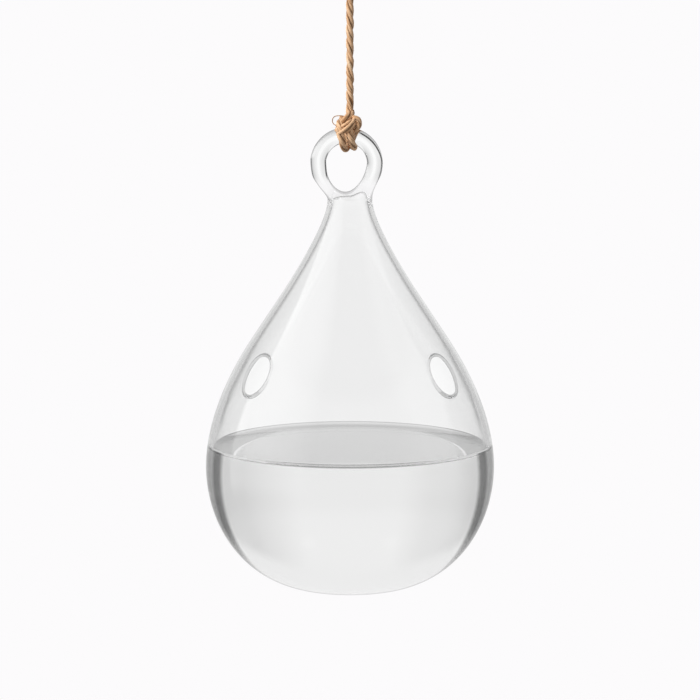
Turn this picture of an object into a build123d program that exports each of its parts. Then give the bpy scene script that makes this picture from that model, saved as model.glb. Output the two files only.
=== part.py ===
"""Hanging propagation vase: a hollow glass drop with two stem holes and a glass loop, filled with water
and hung by a length of jute twine that is hitched round the loop and ends in an eye.

The frame is in millimetres, +Z up and +X to the right, with the viewer on the -Y side. The origin is the
bearing point of the twine's eye, where a hook carries the whole vase.
"""

import math
import os

from build123d import *

# Glass drop, from the foot up to the neck
belly_radius = 49.9
belly_height = 42.9
foot_radius = 9.0
foot_thickness = 2.0
wall_thickness = 2.0
cone_angle = 33.6
cone_start_radius = 34.4
cone_start_rise = 43.8
cone_rise = 15.9
neck_radius = 7.6
neck_rise = 32.9

# Reach of the profile's curve handles, from the foot up to the neck
foot_handle = 28.1
belly_lower_handle = 19.7
belly_upper_handle = 14.0
cone_lower_handle = 16.4
cone_upper_handle = 9.0
neck_handle = 7.2

# Stem holes, one on each side of the front
stem_hole_diameter = 14.0
stem_hole_azimuth = 54.0
stem_hole_curve_share = 0.782

# Glass loop, a drawn rod bent round and fused on the neck
loop_radius = 9.73
loop_rod_diameter = 5.45
loop_rise = 12.45
loop_offset = -1.2
loop_crotch_rise = 2.4
neck_ceiling_rise = 1.2

# Water
water_height = 49.3
water_gap = 0.1

# Twine, and the hitch, knots, tails and eye that are tied in it
twine_diameter = 2.5
hitch_turns = 2
hitch_turn_gap = 0.45
hitch_clearance = 0.35
lower_knot_radius = 3.6
lower_knot_height = 3.6
lower_knot_crown = 2.4
lower_knot_rounding = 1.0
lower_knot_clearance = 0.2
lower_tail_length = 3.2
lower_tail_azimuth = -28.0
cord_free_length = 43.4
cord_seat_depth = 1.6
cord_clearance = 0.15
upper_knot_radius = 3.8
upper_knot_height = 7.5
upper_knot_rounding = 1.2
swing_angle = 20.0
swing_depth = 2.2
upper_tail_length = 10.0
upper_tail_azimuth = 60.0
eye_radius = 7.5
eye_rise = 17.0
eye_leg_gap = 0.8
eye_seat_depth = 1.5

# Extra depth of every through cut
cut_overrun = 5.0

# Sizes that follow from the driving ones, heights measured up from the foot
twine_radius = twine_diameter / 2
rod_radius = loop_rod_diameter / 2
cone_start_height = belly_height + cone_start_rise
cone_end_height = cone_start_height + cone_rise
cone_end_radius = cone_start_radius - cone_rise * math.tan(math.radians(cone_angle))
neck_height = cone_end_height + neck_rise
loop_height = neck_height + loop_rise
hitch_angle = math.asin(-loop_offset / loop_radius)
hitch_height = loop_height + loop_radius * math.cos(hitch_angle)
hitch_radius = rod_radius + hitch_clearance + twine_radius
hitch_pitch = twine_diameter + hitch_turn_gap
knot_saddle_radius = hitch_radius + twine_radius + lower_knot_clearance
lower_knot_top = hitch_height + knot_saddle_radius + lower_knot_crown
lower_knot_bottom = lower_knot_top - lower_knot_height
cord_bottom = lower_knot_top - cord_seat_depth
cord_bore_radius = twine_radius + cord_clearance
upper_knot_bottom = lower_knot_top + cord_free_length
upper_knot_top = upper_knot_bottom + upper_knot_height
swing_height = upper_knot_bottom + swing_depth
swing_turn = math.radians(swing_angle)
eye_foot_height = upper_knot_top - eye_seat_depth
eye_height = upper_knot_top + eye_rise
eye_leg_spread = twine_radius + eye_leg_gap / 2
hang_height = eye_height + eye_radius - twine_radius

# Directions along the loop's rod and away from the loop's centre, where the hitch holds it
rod_along = Vector(math.cos(hitch_angle), 0, -math.sin(hitch_angle))
rod_outward = Vector(math.sin(hitch_angle), 0, math.cos(hitch_angle))


def level(height):
    """Height above the foot turned into Z, which is counted from the bearing point of the eye."""
    return height - hang_height


def arc_handle(angle):
    """Handle of a curve that turns by the angle, per unit of its radius."""
    return 4 / 3 * math.tan(math.radians(angle) / 4)


def wall_curves(inset, floor):
    """Profile of the drop, inset by a depth from its outside, with its floor at a height.

    It returns the control points of four stretches: round the belly's lower half, round its upper half, up
    the cone and into the neck. Each inset handle keeps the depth even along its curve.
    """
    turn = math.radians(cone_angle)
    along = Vector(-math.sin(turn), math.cos(turn))
    outward = Vector(math.cos(turn), math.sin(turn))
    sharp = inset * arc_handle(90)
    gentle = inset * arc_handle(cone_angle)
    foot = Vector(foot_radius, level(floor))
    belly = Vector(belly_radius - inset, level(belly_height))
    cone_start = Vector(cone_start_radius, level(cone_start_height)) - outward * inset
    cone_end = Vector(cone_end_radius, level(cone_end_height)) - outward * inset
    neck = Vector(neck_radius - inset, level(neck_height))
    lower_belly = (
        foot,
        foot + Vector(foot_handle - sharp, 0),
        belly - Vector(0, belly_lower_handle - sharp),
        belly,
    )
    upper_belly = (
        belly,
        belly + Vector(0, belly_upper_handle - gentle),
        cone_start - along * (cone_lower_handle - gentle),
        cone_start,
    )
    neck_curve = (
        cone_end,
        cone_end + along * (cone_upper_handle + gentle),
        neck - Vector(0, neck_handle + gentle),
        neck,
    )
    return lower_belly, upper_belly, (cone_start, cone_end), neck_curve


def drop_profile(inset, floor):
    """Closed half section of the drop at an inset."""
    lower_belly, upper_belly, cone, neck_curve = wall_curves(inset, floor)
    with BuildSketch(Plane.XZ) as profile:
        with BuildLine():
            Line((0, level(floor)), lower_belly[0])
            Bezier(*lower_belly)
            Bezier(*upper_belly)
            Line(*cone)
            Bezier(*neck_curve)
            Polyline(neck_curve[-1], (0, level(neck_height)), (0, level(floor)))
        make_face()
    return profile.sketch


def dome_profile(radius, base, rise):
    """Half section of a shallow dome on a flat base."""
    with BuildSketch(Plane.XZ) as profile:
        with BuildLine():
            TangentArc((0, level(base + rise)), (radius, level(base)), tangent=(1, 0))
            Polyline((radius, level(base)), (0, level(base)), (0, level(base + rise)))
        make_face()
    return profile.sketch


def barrel_profile(radius, bottom, top, rounding):
    """Half section of a knot, a barrel with rounded rims."""
    with BuildSketch(Plane.XZ) as profile:
        with BuildLine():
            Polyline(
                (0, level(bottom)), (radius, level(bottom)), (radius, level(top)), (0, level(top)), close=True
            )
        make_face()
        fillet(profile.vertices().group_by(Axis.X)[-1], radius=rounding)
    return profile.sketch


def swing_mouth(depth):
    """Half width of a flared mouth, so far from the round end of a strand that swings in it."""
    return cord_bore_radius / math.cos(swing_turn) + depth * math.tan(swing_turn)


def tail_plane(azimuth, height):
    """Plane across a cut end of twine where it leaves the cord's bore in a knot."""
    turn = math.radians(azimuth)
    along = Vector(math.cos(turn), math.sin(turn), 0)
    root = along * (cord_bore_radius + cord_clearance) + Vector(0, 0, level(height))
    return Plane(origin=root, z_dir=along)


def tangent_point(centre, radius, foot, side):
    """Point where a straight leg from its foot meets a circle, on the left (-1) or the right (1)."""
    reach = foot - centre
    turn = math.acos(radius / reach.length)
    angle = math.atan2(reach.Z, reach.X) + side * turn
    return centre + Vector(math.cos(angle), 0, math.sin(angle)) * radius


def drop_loop(centre, radius, left_foot, right_foot):
    """Drop-shaped path in the XZ plane: up a straight leg, over the round top and down the other leg."""
    left = tangent_point(centre, radius, left_foot, -1)
    right = tangent_point(centre, radius, right_foot, 1)
    with BuildLine() as path:
        Line(left_foot, left)
        ThreePointArc(left, centre + Vector(0, 0, radius), right)
        Line(right, right_foot)
    return path.line


def round_section(path, radius):
    """Round section at the start of a path."""
    with BuildSketch(Plane(origin=path @ 0, z_dir=path % 0)) as section:
        Circle(radius)
    return section.sketch


def hitch_point(turn):
    """Point and direction of the twine in the hitch, a helix along the loop's rod, after so many turns."""
    angle = 2 * math.pi * turn
    forward = Vector(0, -1, 0)
    centre = Vector(0, 0, level(hitch_height)) + rod_along * (hitch_pitch * (turn - hitch_turns / 2))
    point = centre + (rod_outward * math.cos(angle) + forward * math.sin(angle)) * hitch_radius
    around = (forward * math.cos(angle) - rod_outward * math.sin(angle)) * (2 * math.pi * hitch_radius)
    return point, (around + rod_along * hitch_pitch).normalized()


def biarc_joint(start, start_direction, end, end_direction):
    """Middle point and direction of the pair of arcs that joins two points smoothly."""
    chord = end - start
    bend = 2 * (1 - start_direction.dot(end_direction))
    slope = 2 * chord.dot(start_direction + end_direction)
    reach = (math.sqrt(slope**2 + 4 * bend * chord.dot(chord)) - slope) / (2 * bend)
    first = start + start_direction * reach
    second = end - end_direction * reach
    return (first + second) / 2, (second - first).normalized()


def print_hitch_gap(points_per_turn=90):
    """Print the hitch's radius and the least gap between its turns, measured on points."""
    points = [hitch_point(i / points_per_turn)[0] for i in range(hitch_turns * points_per_turn + 1)]
    apart = points_per_turn // 2
    least = min((a - b).length for i, a in enumerate(points) for b in points[i + apart :])
    print(f"ring hitch: radius {hitch_radius:.2f} mm, least gap {least - twine_diameter:.2f} mm")


os.makedirs("parts", exist_ok=True)

# Hollow glass drop, open at the neck and pierced by the two stem holes
with BuildPart() as glass_bulb:
    revolve(drop_profile(0, 0), axis=Axis.Z)
    revolve(drop_profile(wall_thickness, foot_thickness), axis=Axis.Z, mode=Mode.SUBTRACT)
    shoulder = Bezier(*wall_curves(0, 0)[1], mode=Mode.PRIVATE)
    hole_spot = shoulder @ stem_hole_curve_share
    hole_slope = shoulder % stem_hole_curve_share
    azimuth = math.radians(stem_hole_azimuth)
    for side in (-1, 1):
        ahead = Vector(side * math.sin(azimuth), -math.cos(azimuth), 0)
        spot = ahead * hole_spot.X + Vector(0, 0, hole_spot.Y)
        normal = ahead * hole_slope.Y - Vector(0, 0, hole_slope.X)
        with BuildSketch(Plane(origin=spot, z_dir=normal)):
            Circle(stem_hole_diameter / 2)
        extrude(amount=wall_thickness + cut_overrun, both=True, mode=Mode.SUBTRACT)
glass_bulb.part.label = "glass_bulb"
export_step(glass_bulb.part, "parts/glass_bulb.step")

# Glass loop: a rod bent into a drop, on a domed foot that closes the neck
leg_spread = neck_radius - rod_radius
leg_bottom = level(neck_height - rod_radius)
loop_path = drop_loop(
    Vector(loop_offset, 0, level(loop_height)),
    loop_radius,
    Vector(-leg_spread, 0, leg_bottom),
    Vector(leg_spread, 0, leg_bottom),
)
with BuildPart() as glass_loop:
    sweep(round_section(loop_path, rod_radius), path=loop_path)
    revolve(dome_profile(neck_radius, neck_height, loop_crotch_rise), axis=Axis.Z)
    split(bisect_by=Plane.XY.offset(level(neck_height)), keep=Keep.TOP)
    revolve(
        dome_profile(neck_radius - wall_thickness, neck_height, neck_ceiling_rise),
        axis=Axis.Z,
        mode=Mode.SUBTRACT,
    )
glass_loop.part.label = "glass_loop"
export_step(glass_loop.part, "parts/glass_loop.step")

# Water, a thin film short of the glass all round, with a level top
with BuildPart() as water:
    revolve(drop_profile(wall_thickness + water_gap, foot_thickness + water_gap), axis=Axis.Z)
    split(bisect_by=Plane.XY.offset(level(water_height)), keep=Keep.BOTTOM)
water.part.label = "water"
export_step(water.part, "parts/water.step")

# Hitch: the twine's turns round the loop's rod, one unbroken tube
with BuildLine() as hitch_path:
    for quarter in range(4 * hitch_turns):
        start, start_direction = hitch_point(quarter / 4)
        end, end_direction = hitch_point((quarter + 1) / 4)
        middle, middle_direction = biarc_joint(start, start_direction, end, end_direction)
        TangentArc(start, middle, tangent=start_direction)
        TangentArc(middle, end, tangent=middle_direction)
with BuildPart() as ring_hitch:
    sweep(round_section(hitch_path.line, twine_radius), path=hitch_path.line)
ring_hitch.part.label = "ring_hitch"
export_step(ring_hitch.part, "parts/ring_hitch.step")
print_hitch_gap()

# Cut end of the twine at the lower knot
with BuildPart() as lower_tail:
    with BuildSketch(tail_plane(lower_tail_azimuth, lower_knot_top - twine_radius)):
        Circle(twine_radius)
    extrude(amount=lower_tail_length)
lower_tail.part.label = "lower_tail"
export_step(lower_tail.part, "parts/lower_tail.step")

# Lower knot: a barrel that rides on the hitch, with a bore for the cord
with BuildPart() as lower_knot:
    revolve(
        barrel_profile(lower_knot_radius, lower_knot_bottom, lower_knot_top, lower_knot_rounding), axis=Axis.Z
    )
    with BuildSketch(Plane(origin=(0, 0, level(hitch_height)), z_dir=rod_along)):
        Circle(knot_saddle_radius)
    extrude(amount=lower_knot_radius + cut_overrun, both=True, mode=Mode.SUBTRACT)
    with BuildSketch(Plane.XY.offset(level(cord_bottom))):
        Circle(cord_bore_radius)
    extrude(amount=cord_seat_depth + cut_overrun, mode=Mode.SUBTRACT)
    add(lower_tail.part, mode=Mode.SUBTRACT)
lower_knot.part.label = "lower_knot"
export_step(lower_knot.part, "parts/lower_knot.step")

# Cord: straight twine from the lower knot up to a round end inside the upper knot
with BuildPart() as hanging_cord:
    with BuildSketch(Plane.XZ):
        with BuildLine():
            bottom = level(cord_bottom + cord_clearance)
            Polyline((0, level(swing_height) + twine_radius), (0, bottom), (twine_radius, bottom))
            Line((twine_radius, bottom), (twine_radius, level(swing_height)))
            TangentArc(
                (twine_radius, level(swing_height)), (0, level(swing_height) + twine_radius), tangent=(0, 1)
            )
        make_face()
    revolve(axis=Axis.Z)
hanging_cord.part.label = "hanging_cord"
export_step(hanging_cord.part, "parts/hanging_cord.step")

# Eye: the twine's end laid back in a loop, with the round ends of both legs in the upper knot
left_eye_foot = Vector(-eye_leg_spread, 0, level(eye_foot_height))
right_eye_foot = Vector(eye_leg_spread, 0, level(eye_foot_height))
eye_path = drop_loop(Vector(0, 0, level(eye_height)), eye_radius, left_eye_foot, right_eye_foot)
with BuildPart() as hanging_eye:
    sweep(round_section(eye_path, twine_radius), path=eye_path)
    with Locations(left_eye_foot, right_eye_foot):
        Sphere(twine_radius)
hanging_eye.part.label = "hanging_eye"
export_step(hanging_eye.part, "parts/hanging_eye.step")

# Cut end of the twine at the upper knot
with BuildPart() as upper_tail:
    with BuildSketch(tail_plane(upper_tail_azimuth, swing_height)):
        Circle(twine_radius)
    extrude(amount=upper_tail_length)
upper_tail.part.label = "upper_tail"
export_step(upper_tail.part, "parts/upper_tail.step")

# Upper knot: a barrel with a round seat below for the cord's end and a channel above for the eye's legs,
# both flared so that the cord can swing from side to side and the knot to and fro
with BuildPart() as upper_knot:
    revolve(
        barrel_profile(upper_knot_radius, upper_knot_bottom, upper_knot_top, upper_knot_rounding), axis=Axis.Z
    )
    with BuildSketch(Plane.XZ):
        with BuildLine():
            seat = level(swing_height)
            mouth = (swing_mouth(swing_depth), level(upper_knot_bottom))
            Line((cord_bore_radius, seat), mouth)
            Polyline(mouth, (0, level(upper_knot_bottom)), (0, seat + cord_bore_radius))
            TangentArc((cord_bore_radius, seat), (0, seat + cord_bore_radius), tangent=(0, 1))
        make_face()
    revolve(axis=Axis.Z, mode=Mode.SUBTRACT)
    with BuildSketch(Plane.YZ):
        with Locations((0, level(eye_foot_height))):
            Circle(cord_bore_radius)
        with BuildLine():
            rim = swing_mouth(eye_seat_depth)
            Polyline(
                (-cord_bore_radius, level(eye_foot_height)),
                (cord_bore_radius, level(eye_foot_height)),
                (rim, level(upper_knot_top)),
                (-rim, level(upper_knot_top)),
                close=True,
            )
        make_face()
    extrude(amount=upper_knot_radius, both=True, mode=Mode.SUBTRACT)
    add(upper_tail.part, mode=Mode.SUBTRACT)
upper_knot.part.label = "upper_knot"
export_step(upper_knot.part, "parts/upper_knot.step")
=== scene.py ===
"""Hanging propagation vase: a blown drop of clear glass, half full of water, hung by its loop on jute twine.

Metres, +Z up, with the viewer on the -Y side. The sizes and points below are in millimetres, with heights
counted up from the vase's foot, and place() turns them into the frame's metres.
"""

import math

import bmesh
import bpy
import numpy as np
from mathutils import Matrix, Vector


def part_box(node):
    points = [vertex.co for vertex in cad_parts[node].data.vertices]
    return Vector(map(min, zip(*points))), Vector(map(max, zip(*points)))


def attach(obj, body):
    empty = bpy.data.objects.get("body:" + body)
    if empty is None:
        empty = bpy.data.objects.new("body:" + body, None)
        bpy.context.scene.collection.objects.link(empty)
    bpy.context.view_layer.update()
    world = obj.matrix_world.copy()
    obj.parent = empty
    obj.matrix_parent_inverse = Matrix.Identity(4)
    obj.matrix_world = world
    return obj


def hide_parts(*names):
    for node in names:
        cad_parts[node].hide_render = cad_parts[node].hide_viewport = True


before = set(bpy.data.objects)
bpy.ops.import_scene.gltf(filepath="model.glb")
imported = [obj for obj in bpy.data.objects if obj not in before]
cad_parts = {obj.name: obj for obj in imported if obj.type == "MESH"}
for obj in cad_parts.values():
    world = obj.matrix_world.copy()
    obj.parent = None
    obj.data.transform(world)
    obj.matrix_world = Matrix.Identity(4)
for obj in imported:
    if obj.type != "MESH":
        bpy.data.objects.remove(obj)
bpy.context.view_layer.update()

MM = 0.001
FOOT_Z = float(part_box("glass_bulb")[0][2])

# Camera: distance, tilt and aim that put the vase where the photograph has it
VIEW_DISTANCE = 1500.0
VIEW_TILT = math.radians(7.6)
AIM_HEIGHT = 83.4
MM_PER_PIXEL = 0.3448
PHOTO_PIXELS = 700
SENSOR = 36.0

# Glass drop: radii and heights of its outside, the handles of its curves, and its wall's depth by station,
# which counts the curves from the foot's middle up
BELLY_RADIUS, BELLY_HEIGHT = 49.9, 42.9
FOOT_RADIUS = 9.0
WALL = 2.0
WALL_STATIONS, WALL_DEPTHS = (2.0, 2.6, 4.0, 5.0), (2.0, 1.6, 1.5, 1.6)
BELLY_STATION, CONE_STATION = 2.0, 3.0
CONE_TURN = math.radians(33.6)
CONE_START = 34.4, 86.7
CONE_RISE = 15.9
NECK_RADIUS, NECK_HEIGHT = 7.6, 135.5
FOOT_HANDLE, BELLY_LOWER_HANDLE, BELLY_UPPER_HANDLE = 28.1, 19.7, 14.0
CONE_LOWER_HANDLE, CONE_UPPER_HANDLE, NECK_HANDLE = 16.4, 9.0, 7.2

# Stem holes: place round the drop and between belly and cone, width and height as shares of the diameter,
# radii of the rings round the rim, and the rim's thickness and reach
HOLE_RADIUS = 7.0
HOLE_AZIMUTH = math.radians(54.0)
HOLE_SHARE = 0.782
HOLE_OVAL = 0.87, 1.03
HOLE_RINGS = 10.4, 9.6, 8.9, 8.3, 7.8
RIM_THICKNESS, RIM_TAPER = 0.6, 0.8

# Water: its level, its gap to the glass, and the climb, reach and clear share of its edge
WATER_HEIGHT = 49.0
WATER_GAP = 0.1
MENISCUS_RISE, MENISCUS_REACH, MENISCUS_CLEAR = 1.9, 0.8, 0.35

# Glass loop: the round part of its inner and outer outline
LOOP_CENTRE = -1.2, 147.95
LOOP_INNER, LOOP_OUTER = 7.005, 12.455
ROD_RADIUS = 2.725

# How strongly the glass and the water bend light
GLASS_IOR, WATER_IOR = 1.47, 1.333
# Light still caught in the wall after this many bounces leaves it straight, and meets an even grey
CAUGHT_DEPTH, CAUGHT_LEVEL = 7.5, 0.42
# Painted shade: how much the wet glass's colour is darkened as it turns edge on to the eye, drawing dark
# bands at its edges, and the heights where that sets in
PAINTED_WET_EDGE_SHADE = (0.0, 1.0), (0.535, 1.0), (0.59, 0.37), (0.67, 0.34), (0.73, 0.70), (1.0, 0.88)
EDGE_RISE = 2.0, 26.0
# Painted shade on the dry wall, by the distance from its edge over twice a depth: a dark line is painted
# where the wall's inside turns edge on. The depth changes between two heights, and the line sets in over a
# rise.
PAINTED_WALL_LINE = (0.0, 1.0), (0.36, 1.0), (0.47, 0.68), (0.53, 0.68), (0.66, 0.92), (0.8, 1.0)
LINE_HEIGHTS, LINE_DEPTHS = (60.0, 90.0), (2.3, 1.55)
LINE_RISE = 54.0, 64.0
# Painted shade: how much the loop's rod, and its fused root, are darkened as they turn edge on, drawing
# their outlines
PAINTED_LOOP_OUTLINE = (0.0, 1.0), (0.48, 1.0), (0.62, 0.78), (0.8, 0.70), (1.0, 0.8)
PAINTED_ROOT_OUTLINE = (0.0, 1.0), (0.75, 1.0), (0.88, 0.78), (1.0, 0.5)
# A hole's rim: how far from the hole's axis it ends, over what blur, and the level its first faces are
# painted to, a painted shade that draws the rim's line
RIM_END, RIM_BLUR, PAINTED_RIM_SHADE = 7.8, 0.5, 0.82
# Light that has come straight through some face, and through more than one
PAST_NO_FACE, PAST_ONE_FACE = 0.5, 1.5

# Twine: diameter, length of one turn of its plies, and their count
TWINE = 2.5
LAY = 13.5
PLIES = 3


# Helpers


def place(points):
    """Millimetres above the foot to the frame's metres: a thousandth, raised by the foot's height."""
    return np.asarray(points, float) * MM + (0.0, 0.0, FOOT_Z)


def linear(code):
    """Linear colour of an sRGB hex: ((c + 0.055) / 1.055) to the power 2.4, or c / 12.92 below 0.04045."""
    c = np.array([int(code[i : i + 2], 16) for i in (1, 3, 5)]) / 255
    value = np.where(c > 0.04045, ((c + 0.055) / 1.055) ** 2.4, c / 12.92)
    return (*value.tolist(), 1.0)


def add(tree, kind, sockets=None, **settings):
    """Add a node with its settings, and fill its sockets: a node or its socket is linked, a value is set.

    The sockets are a list in their order, or a dict by name or number. A node is linked from its first
    output in use. A Mix node's sockets are 0 for the share, then 2 and 3 for numbers or 6 and 7 for colours.
    A Map Range node's are the value, the two ends it comes from and the two it goes to, else 0 and 1.
    """
    node = tree.nodes.new("ShaderNode" + kind)
    for name, value in settings.items():
        setattr(node, name, value)
    pairs = sockets.items() if isinstance(sockets, dict) else enumerate(sockets or [])
    for name, value in pairs:
        if isinstance(value, bpy.types.Node):
            value = next(socket for socket in value.outputs if socket.enabled)
        if isinstance(value, bpy.types.NodeSocket):
            tree.links.new(value, node.inputs[name])
        else:
            node.inputs[name].default_value = value
    return node


def fill_ramp(ramp, stops):
    """Stops of a colour ramp, each a position with an sRGB hex or a linear grey level."""
    tones = [linear(tone) if isinstance(tone, str) else (tone, tone, tone, 1.0) for _, tone in stops]
    stop_list = ramp.color_ramp.elements
    stop_list[0].position, stop_list[1].position = stops[0][0], stops[-1][0]
    stop_list[0].color, stop_list[1].color = tones[0], tones[-1]
    for (position, _), tone in zip(stops[1:-1], tones[1:-1]):
        stop_list.new(position).color = tone


def new_material(name):
    """Empty node material."""
    material = bpy.data.materials.new(name)
    material.use_nodes = True
    material.node_tree.nodes.clear()
    return material


def unit(vectors):
    """Vectors over their lengths."""
    return vectors / np.linalg.norm(vectors, axis=-1, keepdims=True)


def turns(count):
    """Angles of points evenly round a circle: their numbers times 2 pi over their count."""
    return 2 * math.pi * np.arange(count) / count


def way_along(line):
    """Way from a line's start to each of its points: the lengths of the steps before it, added up."""
    return np.concatenate([[0.0], np.cumsum(np.linalg.norm(np.diff(line, axis=0), axis=1))])


def smooth_through(keys, count):
    """Points on a Catmull-Rom curve: its slope at a key is half the step from the key before to the next."""
    keys = np.asarray(keys, float)
    held = np.concatenate([2 * keys[:1] - keys[1:2], keys, 2 * keys[-1:] - keys[-2:-1]])
    share = np.linspace(0, len(keys) - 1, count)
    i = np.minimum(share.astype(int), len(keys) - 2)
    f = (share - i)[:, None]
    a, b, c, d = (held[i + k] for k in range(4))
    return (2 * b + (c - a) * f + (2 * a - 5 * b + 4 * c - d) * f**2 + (3 * b - a - 3 * c + d) * f**3) / 2


def quads(rows, columns, closed=False):
    """Faces of a grid whose point i, j is number i times columns plus j; closed joins its last column up."""
    i, j = np.meshgrid(np.arange(rows - 1), np.arange(columns - (not closed)), indexing="ij")
    k = (j + 1) % columns
    corners = (i * columns + j, i * columns + k, (i + 1) * columns + k, (i + 1) * columns + j)
    return np.stack(corners, -1).reshape(-1, 4)


def weld(points, faces, steps=100, shift=0.37):
    """Merge points that round to the same steps of a millimetre, and renumber the faces.

    The shift, in steps, keeps round numbers away from where the rounding turns.
    """
    keys = np.round(points * steps + shift).astype(int)
    _, first, where = np.unique(keys, axis=0, return_index=True, return_inverse=True)
    return points[first], where.ravel()[faces]


def join(patches):
    """One point list and one face list from several grids, each with its own numbers moved up."""
    starts = np.cumsum([0] + [len(points) for points, _ in patches[:-1]])
    points = np.concatenate([points for points, _ in patches])
    return points, np.concatenate([faces + start for (_, faces), start in zip(patches, starts)])


def show(name, data):
    """Object of a mesh, a lamp or a camera, put into the scene."""
    shown = bpy.data.objects.new(name, data)
    bpy.context.scene.collection.objects.link(shown)
    return shown


def make_piece(name, points, faces, material, caps=()):
    """Closed smooth mesh piece from points in millimetres, four-cornered faces and many-cornered caps."""
    mesh = bpy.data.meshes.new(name)
    mesh.from_pydata(place(points).tolist(), [], faces.tolist() + [list(map(int, cap)) for cap in caps])
    shell = bmesh.new()
    shell.from_mesh(mesh)
    bmesh.ops.recalc_face_normals(shell, faces=shell.faces)
    shell.to_mesh(mesh)
    shell.free()
    mesh.polygons.foreach_set("use_smooth", np.ones(len(mesh.polygons), bool))
    mesh.materials.append(material)
    return show(name, mesh)


def mark(piece, name, values, domain="POINT"):
    """Named attribute of a piece: a number or a vector for each of its points or faces."""
    kind, field = ("FLOAT", "value") if values.ndim == 1 else ("FLOAT_VECTOR", "vector")
    layer = piece.data.attributes.new(name, kind, domain)
    layer.data.foreach_set(field, values.astype(np.float32).ravel())


CLEAR = linear("#FFFFFF")
# A vector's level part, and a Map Range node's soft start and end
LEVEL = (1.0, 1.0, 0.0)
EASE = {"interpolation_type": "SMOOTHSTEP"}


# Camera

camera_data = bpy.data.cameras.new("camera")
camera_data.sensor_width = SENSOR
camera_data.lens = VIEW_DISTANCE / MM_PER_PIXEL * SENSOR / PHOTO_PIXELS
camera = show("camera", camera_data)
camera_height = AIM_HEIGHT + VIEW_DISTANCE * math.sin(VIEW_TILT)
camera.location = place((0.0, -VIEW_DISTANCE * math.cos(VIEW_TILT), camera_height))
camera.rotation_euler = (math.pi / 2 - VIEW_TILT, 0.0, 0.0)
bpy.context.scene.camera = camera


# Jute twine, three plies of spun bast fibre: matt, straw coloured, with darker strands and stray hairs, and
# with painted shade in the grooves between its plies. The strands are drawn about 0.3 mm wide, several times
# their real width, so that they show.

FIBRE_WIDTH, FIBRE_LENGTH = 0.3, 9.0
PATCH_WIDTH = FIBRE_WIDTH / 0.35
STRAW_TONES = (0.32, "#A06E44"), (0.48, "#EEBE92"), (0.68, "#FFDDB8")
# Painted shade: how much of a dark brown is mixed in along the grooves between the plies, where shade falls
PAINTED_SHADE_STRENGTH = 0.75

twisted_jute = new_material("twisted_jute_fibre")
tree = twisted_jute.node_tree
fibre = add(tree, "Attribute", attribute_name="fibre")
strands = add(
    tree,
    "TexNoise",
    {"Vector": fibre.outputs["Vector"], "Scale": 1 / FIBRE_WIDTH, "Detail": 3.0, "Roughness": 0.6},
)
patches = add(
    tree, "TexNoise", {"Vector": fibre.outputs["Vector"], "Scale": 1 / PATCH_WIDTH, "Detail": 1.0}
)
half_patches = add(tree, "Math", [patches, 0.5], operation="MULTIPLY")
tone = add(tree, "Math", [strands, 0.5, half_patches], operation="MULTIPLY_ADD")
straw = add(tree, "ValToRGB", {"Fac": tone})
fill_ramp(straw, STRAW_TONES)
# Painted shade between the plies: the dark brown is mixed in by the groove share that twine() writes
painted_groove_shade = add(tree, "Attribute", attribute_name="painted_groove_shade")
painted_shade_share = add(tree, "Math", [painted_groove_shade.outputs["Fac"], PAINTED_SHADE_STRENGTH], operation="MULTIPLY")
jute_tone_and_painted_shade = add(tree, "Mix", {0: painted_shade_share, 6: straw, 7: linear("#5E3A1C")}, data_type="RGBA")
relief = add(tree, "Bump", {"Height": strands, "Strength": 0.6, "Distance": 0.12 * MM})
jute_surface = add(
    tree,
    "BsdfPrincipled",
    {
        "Base Color": jute_tone_and_painted_shade,
        "Roughness": 0.82,
        "Specular IOR Level": 0.25,
        "Sheen Weight": 0.15,
        "Sheen Roughness": 0.5,
        "Normal": relief,
    },
)
add(tree, "OutputMaterial", {"Surface": jute_surface})


# Spacing of the points read from a route, and the fewest of them
ROUTE_STEP, ROUTE_POINTS = 0.22, 8


def route(name, points):
    """Line of a strand: evenly spread points of the NURBS spline with these points as its control points."""
    curve = bpy.data.curves.new(name, "CURVE")
    curve.dimensions = "3D"
    spline = curve.splines.new("NURBS")
    spline.points.add(len(points) - 1)
    spline.points.foreach_set("co", np.column_stack([place(points), np.ones(len(points))]).ravel())
    spline.order_u = 3
    spline.use_endpoint_u = True
    spline.resolution_u = 32
    holder = bpy.data.objects.new(name, curve)
    mesh = bpy.data.meshes.new_from_object(holder)
    line = np.empty(len(mesh.vertices) * 3)
    mesh.vertices.foreach_get("co", line)
    bpy.data.objects.remove(holder)
    bpy.data.curves.remove(curve)
    bpy.data.meshes.remove(mesh)
    line = (line.reshape(-1, 3) - (0.0, 0.0, FOOT_Z)) / MM
    reach = way_along(line)
    even = np.linspace(0, reach[-1], max(ROUTE_POINTS, int(reach[-1] / ROUTE_STEP)))
    return np.column_stack([np.interp(even, reach, line[:, k]) for k in range(3)])


# A ply's radius and its offset from the twine's line, as shares of the twine's diameter
PLY_RADIUS, PLY_OFFSET = 0.285, 0.25
# Waves along a ply, as pairs of size and length: how much it swells, and how far it wanders round
SWELL = (0.07, 2.1), (0.06, 0.93)
WANDER = (0.10, 3.3), (0.07, 1.4)
# Ridges round a ply, as pairs of height and count, and the lays in which they turn once
RIDGES = (0.05, 5), (0.03, 3)
RIDGE_LAYS, RIDGE_START = 2.2, 1.0
# How far the strand pattern moves from ply to ply and from twine to twine
PLY_SHIFT, TWINE_SHIFT = 5.0, 50
# Painted shade between the plies: where it starts on a ply's side, towards the groove, and over how much it
# grows
PAINTED_SHADE_START, PAINTED_SHADE_SPAN = 0.6, 0.8


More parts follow.
